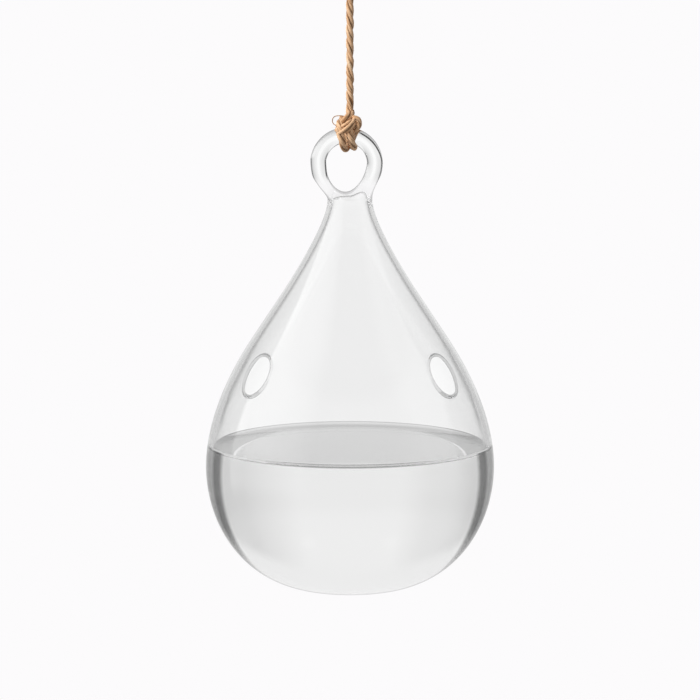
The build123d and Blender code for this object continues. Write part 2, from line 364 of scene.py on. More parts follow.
def twine(line, across, seed, lay=LAY, diameter=TWINE, columns=14):
    """Plies of a twine along a line.

    Ply k of three runs round the line on a helix that falls to the right, at the angle
    2 pi (k / 3 - s / lay), in a frame whose second direction stays square to across. A ply's own section is
    a circle that swells a little along the way and has a few ridges, the strands, that turn back against
    the lay.
    """
    draw = np.random.default_rng(seed)
    along = unit(np.gradient(line, axis=0))
    s = way_along(line)
    side = unit(np.cross(across, along))
    up = np.cross(along, side)
    ply_radius = diameter * PLY_RADIUS
    k = np.arange(PLIES)[:, None]
    waves = draw.uniform(0, 2 * math.pi, (4, PLIES, 1))
    swell = 1 + sum(size * np.sin(s / length + wave) for (size, length), wave in zip(SWELL, waves[:2]))
    wander = sum(size * np.sin(s / length + wave) for (size, length), wave in zip(WANDER, waves[2:]))
    angle = 2 * math.pi * (k / PLIES - s / lay) + wander + draw.uniform(0, 2 * math.pi)
    outward = np.cos(angle)[..., None] * side + np.sin(angle)[..., None] * up
    centre = line + outward * diameter * PLY_OFFSET
    ply_along = unit(np.gradient(centre, axis=1))
    outward = unit(outward - ply_along * np.sum(outward * ply_along, -1, keepdims=True))
    sideways = np.cross(ply_along, outward)
    turn = turns(columns)
    fibre_turn = turn + 2 * math.pi * (s / (RIDGE_LAYS * lay))[:, None]
    (tall, many), (low, few) = RIDGES
    ridges = 1 + tall * np.sin(many * fibre_turn + waves[0][..., None])
    ridges = ridges + low * np.sin(few * fibre_turn + RIDGE_START)
    radius = ply_radius * swell[..., None] * ridges
    points = (
        centre[:, :, None]
        + (radius * np.cos(turn))[..., None] * outward[:, :, None]
        + (radius * np.sin(turn))[..., None] * sideways[:, :, None]
    )
    pattern = np.empty(points.shape)
    pattern[..., 0] = ply_radius * np.cos(fibre_turn) + PLY_SHIFT * k[..., None]
    pattern[..., 1] = ply_radius * np.sin(fibre_turn) + draw.uniform(0, TWINE_SHIFT)
    pattern[..., 2] = (s * FIBRE_WIDTH / FIBRE_LENGTH)[:, None]
    # Painted shade: 0 on a ply's outer side, rising to 1 towards the other plies
    painted_groove_shade = np.broadcast_to(np.clip((PAINTED_SHADE_START - np.cos(turn)) / PAINTED_SHADE_SPAN, 0, 1), points.shape[:3])
    faces = quads(len(s), columns, closed=True)
    size = len(s) * columns
    all_faces = np.concatenate([faces + size * p for p in range(PLIES)])
    ends = [np.arange(columns) + size * p + start for p in range(PLIES) for start in (0, size - columns)]
    return points.reshape(-1, 3), all_faces, pattern.reshape(-1, 3), painted_groove_shade.ravel(), ends


# Stray fibres: sides and rows of each, the shortest as a share of the longest, how far from the twine's line
# they start, how they rise and bend over, how strongly they follow the twine, and how much they thin out
HAIR_SIDES, HAIR_ROWS, HAIR_SHORTEST = 3, 7, 0.35
HAIR_START, HAIR_RISE, HAIR_BEND = 0.3 * TWINE, 0.7, 0.25
HAIR_FOLLOW, HAIR_TAPER = 1.5, 0.6
# Keeps a fibre's section from failing where the fibre runs along its own drift
HAIR_SKEW = 0.01


def hairs(line, count, seed, reach=1.6, thickness=0.035):
    """Stray fibres that leave the twine sideways and bend along it.

    A fibre's point is its start, plus its rise times its share less its bend times the share squared, aimed
    sideways, plus the share squared along its drift.
    """
    draw = np.random.default_rng(seed)
    along = unit(np.gradient(line, axis=0))
    spot = draw.integers(2, len(line) - 2, count)
    aim = unit(np.cross(along[spot], unit(draw.normal(size=(count, 3)))))
    drift = draw.normal(size=(count, 3)) + along[spot] * draw.choice([-HAIR_FOLLOW, HAIR_FOLLOW], (count, 1))
    drift = unit(drift)[:, None]
    length = reach * draw.uniform(HAIR_SHORTEST, 1.0, (count, 1, 1))
    share = np.linspace(0, 1, HAIR_ROWS)[:, None]
    rise = HAIR_START + length * (HAIR_RISE * share - HAIR_BEND * share**2)
    path = line[spot][:, None] + aim[:, None] * rise + drift * length * share**2
    hair_along = unit(np.gradient(path, axis=1))
    first = unit(np.cross(hair_along, drift + HAIR_SKEW))
    second = np.cross(hair_along, first)
    turn = turns(HAIR_SIDES)[:, None]
    radius = thickness * (1 - HAIR_TAPER * share)[..., None]
    section = np.cos(turn) * first[:, :, None] + np.sin(turn) * second[:, :, None]
    points = path[:, :, None] + radius * section
    size = HAIR_ROWS * HAIR_SIDES
    starts = size * np.arange(count)
    all_faces = (quads(HAIR_ROWS, HAIR_SIDES, closed=True) + starts[:, None, None]).reshape(-1, 4)
    ends = [np.arange(HAIR_SIDES) + start + end for start in starts for end in (0, size - HAIR_SIDES)]
    pattern = np.repeat(draw.uniform(0, TWINE_SHIFT, (count, 1, 3)), size, axis=1)
    return points.reshape(-1, 3), all_faces, pattern.reshape(-1, 3), np.zeros(count * size), ends


def twine_piece(name, parts):
    """One piece of several plied strands and their hairs, with the fibre pattern on its points."""
    all_points, all_faces, patterns, painted_groove_shades, all_ends = zip(*parts)
    starts = np.cumsum([0] + [len(points) for points in all_points[:-1]])
    points, faces = join(list(zip(all_points, all_faces)))
    caps = [end + start for ends, start in zip(all_ends, starts) for end in ends]
    piece = make_piece(name, points, faces, twisted_jute, caps)
    mark(piece, "fibre", np.concatenate(patterns))
    mark(piece, "painted_groove_shade", np.concatenate(painted_groove_shades))
    return piece


# Hanging cord, taut between its two knots
CORD_FOOT, CORD_HEAD, CORD_STRAIGHT = 164.33, 212.63, 16
CORD_HEIGHTS = CORD_FOOT, CORD_FOOT + CORD_STRAIGHT, CORD_HEAD - CORD_STRAIGHT, CORD_HEAD
cord_line = route("cord_route", [(0, 0, height) for height in CORD_HEIGHTS])
cord_twine = twine_piece("cord_twine", [twine(cord_line, (0, 1, 0), 11), hairs(cord_line, 60, 12)])

# Hitch: two turns round the loop's rod, from the knot down the front, up the back and down again
HITCH_ROUTE = [
    (-2.4, 0.8, 163.4), (-3.5, -2.4, 162.6), (-3.5, -4.5, 160.0), (-2.9, -4.8, 157.0),
    (-2.2, -3.7, 154.2), (-1.5, -0.4, 152.7), (-1.0, 3.2, 154.0), (-0.9, 4.7, 157.4),
    (-0.8, 3.4, 160.8), (-0.6, 0.0, 162.3), (-0.3, -3.2, 161.3), (-0.3, -4.6, 158.8),
    (0.5, -4.4, 156.3), (1.2, -2.6, 154.2), (1.3, 0.4, 153.3), (1.2, 3.4, 154.6), (0.9, 4.7, 157.6),
    (0.8, 3.3, 160.9), (0.5, 0.6, 162.6),
]
hitch_line = route("hitch_route", HITCH_ROUTE)
hitch_twine = twine_piece(
    "hitch_twine", [twine(hitch_line, (1, 0, 0), 21), hairs(hitch_line, 26, 22, reach=1.2)]
)

# Lower knot: the cord's end turned left over two slanting wraps, with its short end folded down at the right
KNOT_CORE = [(0.0, 0.0, 166.2), (-0.1, 0.2, 164.6), (-0.5, 0.3, 163.2), (-0.8, 0.2, 162.0)]
KNOT_FAN = [
    (0.1, -0.2, 165.6), (-0.2, -1.2, 164.4), (-1.5, -2.2, 163.5), (-2.8, -2.5, 162.3),
    (-3.6, -1.6, 161.2), (-3.4, 0.6, 161.2), (-1.8, 2.4, 161.8), (0.6, 2.4, 162.6),
]
KNOT_UPPER_WRAP = [
    (-2.6, 2.0, 161.6), (-3.8, 0.2, 160.9), (-4.2, -2.2, 160.1), (-3.3, -4.0, 160.2),
    (-1.4, -4.2, 161.1), (0.5, -3.4, 162.2), (1.4, -1.2, 163.1), (1.0, 1.2, 163.4),
    (-0.8, 2.0, 163.2),
]
KNOT_LOWER_WRAP = [
    (-2.8, 1.4, 161.4), (-4.0, -1.4, 160.0), (-4.2, -3.6, 158.9), (-3.2, -5.3, 159.2),
    (-1.2, -5.5, 160.2), (0.5, -4.4, 161.1), (1.3, -2.0, 161.9), (0.8, 0.6, 162.2),
]
KNOT_TAIL = [
    (0.1, -0.4, 163.6), (1.4, -1.2, 163.8), (2.7, -1.7, 162.8), (2.9, -1.9, 161.2),
    (2.3, -2.1, 160.0), (1.4, -2.2, 159.6),
]
LOOSE_FIBRE = [
    (-2.6, -2.6, 161.0), (-4.6, -3.0, 161.0), (-6.2, -2.8, 162.2), (-5.8, -2.4, 164.2),
    (-3.6, -2.0, 164.6), (-1.6, -1.4, 164.2),
]
knot_core_line = route("knot_core_route", KNOT_CORE)
knot_fan_line = route("knot_fan_route", KNOT_FAN)
knot_upper_line = route("knot_upper_wrap_route", KNOT_UPPER_WRAP)
knot_lower_line = route("knot_lower_wrap_route", KNOT_LOWER_WRAP)
knot_tail_line = route("knot_tail_route", KNOT_TAIL)
lower_knot_twine = twine_piece(
    "lower_knot_twine",
    [
        twine(knot_core_line, (0, 1, 0), 30, diameter=2.9),
        twine(knot_fan_line, (0, 0, 1), 31),
        twine(knot_upper_line, (0, 0, 1), 32, diameter=2.1),
        twine(knot_lower_line, (0, 0, 1), 33, diameter=2.1),
        twine(knot_tail_line, (0, 1, 0), 34, diameter=2.3),
        twine(route("loose_fibre_route", LOOSE_FIBRE), (0, 1, 0), 38, diameter=0.32, columns=6),
        hairs(knot_fan_line, 22, 35, reach=2.2),
        hairs(knot_upper_line, 18, 36),
        hairs(knot_tail_line, 16, 37),
    ],
)

# Upper knot, two wraps under the eye, with its cut end to the back
UPPER_KNOT_ROUTE = [
    (0.2, 0.0, 209.6), (2.2, -0.9, 210.2), (1.5, -2.6, 210.6), (-1.2, -3.0, 211.1),
    (-2.9, -0.9, 211.6), (-2.3, 2.0, 212.0), (0.5, 3.0, 212.4), (2.8, 1.2, 212.8),
    (2.2, -2.0, 213.2), (-0.7, -3.1, 213.6), (-2.9, -1.1, 214.0), (-2.3, 1.9, 214.4),
    (0.6, 3.0, 214.8), (2.7, 1.0, 215.3), (1.8, -1.9, 215.7), (-0.4, -1.6, 215.9),
]
UPPER_TAIL_ROUTE = [
    (0.3, 0.4, 211.5), (1.5, 2.4, 211.6), (3.0, 5.2, 211.5), (4.6, 8.0, 210.9), (5.7, 9.9, 209.9),
]
upper_knot_line = route("upper_knot_route", UPPER_KNOT_ROUTE)
upper_tail_line = route("upper_tail_route", UPPER_TAIL_ROUTE)
upper_knot_twine = twine_piece(
    "upper_knot_twine",
    [
        twine(upper_knot_line, (0, 0, 1), 41),
        twine(upper_tail_line, (0, 0, 1), 42),
        hairs(upper_knot_line, 24, 43),
        hairs(upper_tail_line, 22, 44),
    ],
)

# Eye: the end of the twine laid back in a drop-shaped loop
EYE_ROUTE = [
    (-1.65, 0.0, 214.6), (-2.9, 0.0, 219.0), (-5.9, 0.0, 225.5), (-8.1, 0.0, 231.5),
    (-7.4, 0.0, 238.6), (-3.2, 0.0, 241.6), (3.2, 0.0, 241.6), (7.4, 0.0, 238.6), (8.1, 0.0, 231.5),
    (5.9, 0.0, 225.5), (2.9, 0.0, 219.0), (1.65, 0.0, 214.6),
]
eye_line = route("eye_route", EYE_ROUTE)
eye_twine = twine_piece("eye_twine", [twine(eye_line, (0, 1, 0), 51), hairs(eye_line, 46, 52)])


# Glass drop


def wall_controls(inset):
    """Control points of the wall's five cubic stretches, from foot to neck, at a depth below the outside."""
    along = np.array([-math.sin(CONE_TURN), math.cos(CONE_TURN)])
    outward = np.array([math.cos(CONE_TURN), math.sin(CONE_TURN)])
    up = np.array([0.0, 1.0])
    # How much shorter handles get, so that a cubic stays parallel round a quarter turn or the cone's turn
    sharp = inset * 4 / 3 * math.tan(math.pi / 8)
    gentle = inset * 4 / 3 * math.tan(CONE_TURN / 4)
    centre = np.array([0.0, inset])
    foot = np.array([FOOT_RADIUS, inset])
    belly = np.array([BELLY_RADIUS - inset, BELLY_HEIGHT])
    above_belly = belly + up * (BELLY_UPPER_HANDLE - gentle)
    start = np.array(CONE_START) - outward * inset
    below_start = start - along * (CONE_LOWER_HANDLE - gentle)
    end = np.array(CONE_START) + (-CONE_RISE * math.tan(CONE_TURN), CONE_RISE) - outward * inset
    neck = np.array([NECK_RADIUS - inset, NECK_HEIGHT])
    return np.array(
        [
            [centre, (2 * centre + foot) / 3, (centre + 2 * foot) / 3, foot],
            [foot, foot + (FOOT_HANDLE - sharp, 0), belly - up * (BELLY_LOWER_HANDLE - sharp), belly],
            [belly, above_belly, below_start, start],
            [start, (2 * start + end) / 3, (start + 2 * end) / 3, end],
            [end, end + along * (CONE_UPPER_HANDLE + gentle), neck - up * (NECK_HANDLE + gentle), neck],
        ]
    )


OUTSIDE = wall_controls(0.0)
INWARD = wall_controls(1.0) - OUTSIDE


def wall(station, inset):
    """Radius and height on the wall: the cubic Bezier of the stretch that the station's whole part names."""
    station, inset = np.broadcast_arrays(np.asarray(station, float), np.asarray(inset, float))
    stretch = np.clip(station.astype(int), 0, len(OUTSIDE) - 1)
    t = (station - stretch)[..., None]
    p = OUTSIDE[stretch] + INWARD[stretch] * inset[..., None, None]
    a, b, c, d = (p[..., n, :] for n in range(4))
    return a * (1 - t) ** 3 + 3 * b * t * (1 - t) ** 2 + 3 * c * t**2 * (1 - t) + d * t**3


def spin(station, inset, azimuth):
    """Wall turned about the upright axis: radius times sine and minus cosine of the azimuth, and height."""
    profile = wall(station, inset)
    radius, height = np.broadcast_arrays(profile[..., 0], profile[..., 1])
    return np.stack(np.broadcast_arrays(radius * np.sin(azimuth), -radius * np.cos(azimuth), height), -1)


def wall_depth(station):
    """Thickness of the blown wall: full up to the belly, then thinner by straight lines."""
    return np.interp(station, WALL_STATIONS, WALL_DEPTHS)


# Columns round the drop, the way between its rows, the cells from a hole's middle to its window's edge, and
# the least way that is left from the rows to the foot's middle and to the neck
COLUMNS = 80
ROW_STEP = 2.75
WINDOW = 4
FOOT_MARGIN, NECK_MARGIN = 1.5, 1.4
FINE_COUNT = 6001

fine = np.linspace(0, len(OUTSIDE), FINE_COUNT)
fine_reach = way_along(wall(fine, 0.0))
belly_reach, cone_reach = np.interp([BELLY_STATION, CONE_STATION], fine, fine_reach)
hole_reach = belly_reach + HOLE_SHARE * (cone_reach - belly_reach)
hole_row = math.floor((hole_reach - FOOT_MARGIN) / ROW_STEP)
rows_above = math.floor((fine_reach[-1] - NECK_MARGIN - hole_reach) / ROW_STEP)
row_reach = np.append(hole_reach + ROW_STEP * np.arange(-hole_row, rows_above + 1), fine_reach[-1])
row_station = np.interp(row_reach, fine_reach, fine)
azimuths = turns(COLUMNS)
hole_column = round(HOLE_AZIMUTH / (2 * math.pi / COLUMNS))
hole_columns = (hole_column, COLUMNS - hole_column)


def wall_grid(inset):
    """The wall at one depth as a grid, open in a window of cells round each stem hole."""
    points = spin(row_station[:, None], np.reshape(inset, (-1, 1)), azimuths).reshape(-1, 3)
    faces = quads(len(row_station), COLUMNS, closed=True).reshape(-1, COLUMNS, 4)
    kept = np.ones(faces.shape[:2], bool)
    for column in hole_columns:
        cells = np.arange(column - WINDOW, column + WINDOW) % COLUMNS
        kept[hole_row - WINDOW : hole_row + WINDOW, cells] = False
    return points, faces[kept]


def stem_hole(column):
    """Rounded rim of a stem hole, one ring-shaped grid from the window's edge outside to its edge inside.

    Each row is a slightly tall circle laid on the wall at a depth. Over the rim the circle's radius is the
    hole's plus 1 less sine, and the depth 1 less cosine, of an angle from 0 to 180 degrees, times half the
    rim's thickness. The wall thins to the rim by a bell curve of the radius, as where flame blew it open.
    """
    low, high = np.arange(-WINDOW, WINDOW), np.arange(WINDOW, -WINDOW, -1)
    flat = np.full(2 * WINDOW, WINDOW)
    across = np.concatenate([low, flat, high, -flat]) * (azimuths[1] - azimuths[0])
    upward = np.concatenate([-flat, low, flat, high]) * ROW_STEP
    hole_station = np.interp(hole_reach, fine_reach, fine)
    angle = np.arctan2(upward, across * wall(hole_station, 0.0)[0])
    half = RIM_THICKNESS / 2
    rim_turn = np.radians(np.arange(0, 181, 30))
    rings = np.array(HOLE_RINGS)
    radius = np.concatenate([rings, HOLE_RADIUS + half * (1 - np.sin(rim_turn)), rings[::-1]])[:, None]
    bell = np.exp(-(((rings[::-1] - HOLE_RADIUS) / RIM_TAPER) ** 2))
    under = RIM_THICKNESS + (wall_depth(hole_station) - RIM_THICKNESS) * (1 - bell)
    depth = np.concatenate([np.zeros(len(rings)), half * (1 - np.cos(rim_turn)), under])[:, None]
    circle_reach = hole_reach + HOLE_OVAL[1] * radius * np.sin(angle)
    station = np.interp(circle_reach, fine_reach, fine)
    across_share = HOLE_OVAL[0] * radius * np.cos(angle) / wall(station, 0.0)[..., 0]
    rows = spin(station, depth, azimuths[column] + np.arcsin(across_share))
    edge_station = np.interp(hole_reach + upward, fine_reach, fine)
    edge_azimuth = azimuths[column] + across
    outside = spin(edge_station, 0.0, edge_azimuth)[None]
    inside = spin(edge_station, wall_depth(edge_station), edge_azimuth)[None]
    points = np.concatenate([outside, rows, inside])
    return points.reshape(-1, 3), quads(len(points), len(angle), closed=True)


def rim_share(points):
    """How much of a stem hole's rim a point is: 1 near the hole's axis, falling to 0 at the rim's end.

    The hole's upward direction is the step between two points of the wall that are a millimetre apart.
    """
    station = np.interp(hole_reach + np.array([-0.5, 0.0, 0.5]), fine_reach, fine)
    share = np.zeros(len(points))
    for column in hole_columns:
        below_hole, middle, above_hole = spin(station, 0.0, azimuths[column])
        upward = above_hole - below_hole
        across = np.array([math.cos(azimuths[column]), math.sin(azimuths[column]), 0.0])
        offset = points - middle
        radius = np.hypot(offset @ across / HOLE_OVAL[0], offset @ upward / HOLE_OVAL[1])
        near = np.linalg.norm(offset, axis=1) < 2 * HOLE_RADIUS
        share = np.maximum(share, near * np.clip((RIM_END - radius) / RIM_BLUR, 0, 1))
    return share


# Glass loop: matched points on the inner and the outer outline, from the left foot over the top to the right
LEFT_LEG = [(-6.1, 140.4, -10.1, 138.9), (-7.25, 142.7, -11.9, 141.4), (-7.85, 144.9, -13.1, 144.2)]
RIGHT_LEG = [(5.15, 145.0, 10.95, 145.1), (4.2, 142.75, 10.0, 142.4), (3.03, 140.9, 8.75, 139.9)]
CROTCH = [
    (-6.1, 140.4), (-4.6, 139.0), (-3.0, 138.15), (-1.55, 137.9), (0.0, 138.2), (1.65, 139.45),
    (3.03, 140.9),
]
BROW = [
    (-8.1, -2.73, 139.65), (-5.6, -4.0, 138.0), (-3.0, -4.9, 137.1), (-0.8, -5.2, 136.9),
    (1.6, -4.8, 137.3), (3.9, -3.8, 138.6), (5.89, -2.73, 140.4),
]
# Where the root is fused clear: the middle and reach of its height, and its share of straight light
ROOT_MIDDLE, ROOT_REACH, FUSED_CLEAR = 139.0, 3.4, 0.88
# Degrees of the round part's points, from left to right
LOOP_DEGREES = range(176, -1, -11)
LOOP_ROWS = 52
ROD_COLUMNS = 48
CROTCH_COLUMNS = 16
SKIRT_ROWS = 9


def loop_rings():
    """Rings of the loop's rod.

    A ring's point is its centre, plus half its width times cosine in the loop's plane, and minus the rod's
    radius times sine across it.
    """
    turn = np.radians(LOOP_DEGREES)
    circle = np.stack([np.cos(turn), np.sin(turn)], -1)
    bend = np.hstack([circle * LOOP_INNER + LOOP_CENTRE, circle * LOOP_OUTER + LOOP_CENTRE])
    edges = smooth_through(np.concatenate([LEFT_LEG, bend, RIGHT_LEG]), LOOP_ROWS)
    centre = (edges[:, None, 2:] + edges[:, None, :2]) / 2
    half = (edges[:, None, 2:] - edges[:, None, :2]) / 2
    angle = turns(ROD_COLUMNS)
    flat = centre + half * np.cos(angle)[:, None]
    across = np.broadcast_to(-ROD_RADIUS * np.sin(angle), flat.shape[:2])
    return np.stack([flat[..., 0], across, flat[..., 1]], -1)


def crotch_patch(rings):
    """Saddle between the loop's feet: half ellipses from the brow in front, over the crotch, to the back."""
    half = ROD_COLUMNS // 2
    crest = smooth_through(CROTCH, CROTCH_COLUMNS + 1)[:, None]
    brow = smooth_through(BROW, CROTCH_COLUMNS + 1)[:, None]
    q = math.pi * np.arange(half + 1) / half
    x = brow[..., 0] + (crest[..., 0] - brow[..., 0]) * np.sin(q)
    y = brow[..., 1] * np.cos(q)
    z = brow[..., 2] + (crest[..., 1] - brow[..., 2]) * np.sin(q)
    patch = np.stack([x, y, z], -1)
    inner_half = (half // 2 + np.arange(half + 1)) % ROD_COLUMNS
    patch[0] = rings[0, inner_half]
    patch[-1] = rings[-1, inner_half]
    return patch


def skirt(rings, patch):
    """Flared root of the loop: cubics from the feet and brow, along their slope, down to the neck's rim."""
    half = ROD_COLUMNS // 2
    front = np.arange(half // 2, -half // 2 - 1, -1) % ROD_COLUMNS
    middle = CROTCH_COLUMNS // 2

    def loop_round(feet_right, feet_left, brow_front, brow_back):
        return np.concatenate(
            [
                brow_front[middle:],
                feet_right[front][1:],
                brow_back[::-1][1:],
                feet_left[front[::-1]][1:],
                brow_front[1:middle],
            ]
        )

    top = loop_round(rings[-1], rings[0], patch[:, 0], patch[:, -1])
    before = loop_round(rings[-2], rings[1], patch[:, 1], patch[:, -2])
    bottom = spin(len(OUTSIDE), 0.0, azimuths)
    span = np.linalg.norm(bottom - top, axis=1, keepdims=True)
    leave = unit(top - before) * span
    arrive = np.array([0.0, 0.0, -1.0]) * span
    t = np.linspace(0, 1, SKIRT_ROWS)[:, None, None]
    return (
        top * (2 * t**3 - 3 * t**2 + 1)
        + leave * (t**3 - 2 * t**2 + t)
        + bottom * (3 * t**2 - 2 * t**3)
        + arrive * (t**3 - t**2)
    )


# Heights over which the relaxing sets in above the neck and dies out up the legs, and how often it is done
RELAX_FOOT, RELAX_HEAD = (135.7, 136.7), (140.5, 143.0)
RELAX_STEPS = 24


def relaxed(points, faces):
    """Fused root: points between neck and legs go half way to the mean of their neighbours, many times."""
    edges = np.concatenate([faces[:, [k, (k + 1) % 4]] for k in range(4)])
    edges = np.concatenate([edges, edges[:, ::-1]])
    count = np.bincount(edges[:, 0], minlength=len(points))[:, None]
    weight = np.interp(points[:, 2], RELAX_FOOT + RELAX_HEAD, (0.0, 1.0, 1.0, 0.0))
    for _ in range(RELAX_STEPS):
        total = np.zeros_like(points)
        np.add.at(total, edges[:, 0], points[edges[:, 1]])
        points = points + 0.5 * weight[:, None] * (total / count - points)
    return points


def loop_shell():
    """The loop, its crotch and its flared root, welded and relaxed."""
    rings = loop_rings()
    patch = crotch_patch(rings)
    root = skirt(rings, patch)
    grids = [
        (rings.reshape(-1, 3), quads(LOOP_ROWS, ROD_COLUMNS, closed=True)),
        (patch.reshape(-1, 3), quads(*patch.shape[:2])),
        (root.reshape(-1, 3), quads(SKIRT_ROWS, COLUMNS, closed=True)),
    ]
    points, faces = weld(*join(grids))
    return relaxed(points, faces), faces


# The ceiling's height, how far its right side is drawn up, by which power, and the degrees of its rings
DOME_HEIGHT, DOME_PULL, PULL_POWER = 1.2, 4.5, 1.5
DOME_DEGREES = 0, 12, 24, 36, 48, 60, 70, 78, 84


def neck_ceiling():
    """End of the hollow neck: a low dome, drawn up into the right leg by a power of the way to the right."""
    tilt = np.radians(DOME_DEGREES)[:, None]
    rim = NECK_RADIUS - wall_depth(len(OUTSIDE))
    radius = rim * np.cos(tilt)
    x = radius * np.sin(azimuths)
    pull = DOME_PULL * np.clip(x / rim, 0, 1) ** PULL_POWER
    height = NECK_HEIGHT + np.sin(tilt) * (DOME_HEIGHT + pull)
    points = np.stack([x, -radius * np.cos(azimuths), height], -1)
    return points.reshape(-1, 3), quads(len(tilt), COLUMNS, closed=True)


# The patches, each with whether it faces the hollow, then the caps: outer foot, inner foot and ceiling
ceiling = neck_ceiling()
glass_patches = [wall_grid(0.0), loop_shell(), wall_grid(wall_depth(row_station)), ceiling]
glass_patches += [stem_hole(column) for column in hole_columns]
hollow_sides = [0, 0, 1, 1, 0, 0] + [0, 1, 1]
glass_points, glass_faces = join(glass_patches)
patch_starts = np.cumsum([0] + [len(points) for points, _ in glass_patches])
first_ring = np.arange(COLUMNS)
last_ring = first_ring + len(ceiling[0]) - COLUMNS
cap_rings = np.stack([first_ring, first_ring + patch_starts[2], last_ring + patch_starts[3]])
face_counts = [len(faces) for _, faces in glass_patches] + [1] * len(cap_rings)
inside_faces = np.repeat(hollow_sides, face_counts)
glass_points, corner_numbers = weld(glass_points, np.concatenate([glass_faces.ravel(), cap_rings.ravel()]))
glass_faces = corner_numbers[: glass_faces.size].reshape(-1, 4)
glass_caps = corner_numbers[glass_faces.size :].reshape(-1, COLUMNS)


# Borosilicate glass, blown and flame worked: colourless and fire-polished, grey only where a long way
# through it takes a little light. Inside, under the water, it meets water and bends light far less. Its dark
# edges, outlines and rim lines are painted shade in its colour.

blown_glass = new_material("blown_borosilicate_glass")
tree = blown_glass.node_tree
spot = add(tree, "TexCoord")
spot_parts = add(tree, "SeparateXYZ", [spot.outputs["Object"]])
height = add(tree, "Math", [spot_parts.outputs["Z"], 1 / MM, -FOOT_Z / MM], operation="MULTIPLY_ADD")
below = add(tree, "Math", [height, WATER_HEIGHT + MENISCUS_RISE], operation="LESS_THAN")
inside = add(tree, "Attribute", attribute_name="inside")
wetted = add(tree, "Math", [below, inside.outputs["Fac"]], operation="MULTIPLY")
slope = add(tree, "LayerWeight", {"Blend": 0.5})
skin_normal = add(tree, "NewGeometry")
rays = add(tree, "LightPath")

# Outside below the brim, painted shade: dark bands where the glass turns edge on about the upright axis
level_normal = add(tree, "VectorMath", [skin_normal.outputs["Normal"], LEVEL], operation="MULTIPLY")
level_normal = add(tree, "VectorMath", [level_normal], operation="NORMALIZE")
level_slope = add(tree, "LayerWeight", {"Blend": 0.5, "Normal": level_normal})
wet_edge_painted_shade = add(tree, "ValToRGB", {"Fac": level_slope.outputs["Facing"]})
fill_ramp(wet_edge_painted_shade, PAINTED_WET_EDGE_SHADE)
outside = add(tree, "Math", [below, wetted], operation="SUBTRACT")
above_foot = add(tree, "MapRange", [height, *EDGE_RISE], **EASE)
edge_share = add(tree, "Math", [outside, above_foot], operation="MULTIPLY")
painted_edge_colour = add(tree, "Mix", {0: edge_share, 6: CLEAR, 7: wet_edge_painted_shade}, data_type="RGBA")

# Outside above it, a painted dark line for the wall's inside. The distance from the edge is the wall's
# radius, less the
# radius times the sine of the angle to the eye.
off_axis = add(tree, "VectorMath", [spot.outputs["Object"], LEVEL], operation="MULTIPLY")
off_axis = add(tree, "VectorMath", [off_axis], operation="LENGTH")
toward_eye = add(tree, "Math", [1.0, level_slope.outputs["Facing"]], operation="SUBTRACT")
toward_eye = add(tree, "Math", [toward_eye, toward_eye], operation="MULTIPLY")
sideways = add(tree, "Math", [1.0, toward_eye], operation="SUBTRACT", use_clamp=True)
sideways = add(tree, "Math", [sideways], operation="SQRT")
from_edge = add(tree, "Math", [1.0, sideways], operation="SUBTRACT")
from_edge = add(tree, "Math", [from_edge, off_axis], operation="MULTIPLY")
twice_depths = [2 * depth * MM for depth in LINE_DEPTHS]
line_depth = add(tree, "MapRange", [height, *LINE_HEIGHTS, *twice_depths])
line_share = add(tree, "Math", [from_edge, line_depth], operation="DIVIDE")
wall_line_painted_shade = add(tree, "ValToRGB", {"Fac": line_share})
fill_ramp(wall_line_painted_shade, PAINTED_WALL_LINE)
dry_wall = add(tree, "Math", [height, NECK_HEIGHT], operation="LESS_THAN")
not_outside = add(tree, "Math", [below, inside.outputs["Fac"]], operation="MAXIMUM")
dry_wall = add(tree, "Math", [dry_wall, not_outside], operation="SUBTRACT", use_clamp=True)
above_water = add(tree, "MapRange", [height, *LINE_RISE], **EASE)
dry_wall = add(tree, "Math", [dry_wall, above_water], operation="MULTIPLY")
painted_edge_colour = add(tree, "Mix", {0: dry_wall, 6: painted_edge_colour, 7: wall_line_painted_shade}, data_type="RGBA")

# The loop's outline, in painted shade. All these painted shades are for the eye's own rays, so light running
# in the wall isn't dimmed.
loop_painted_outline = add(tree, "ValToRGB", {"Fac": slope.outputs["Facing"]})
fill_ramp(loop_painted_outline, PAINTED_LOOP_OUTLINE)
on_loop = add(tree, "Math", [height, NECK_HEIGHT], operation="GREATER_THAN")
painted_edge_colour = add(tree, "Mix", {0: on_loop, 6: painted_edge_colour, 7: loop_painted_outline}, data_type="RGBA")
own_ray = rays.outputs["Is Camera Ray"]
painted_edge_colour = add(tree, "Mix", {0: own_ray, 6: CLEAR, 7: painted_edge_colour}, data_type="RGBA")

# Bent light, where the glass meets air or water
dry_face = add(tree, "BsdfGlass", {"Color": painted_edge_colour, "Roughness": 0.0, "IOR": GLASS_IOR})
wet_face = add(tree, "BsdfGlass", {"Color": CLEAR, "Roughness": 0.0, "IOR": GLASS_IOR / WATER_IOR})
bent_light = add(tree, "MixShader", [wetted, dry_face, wet_face])

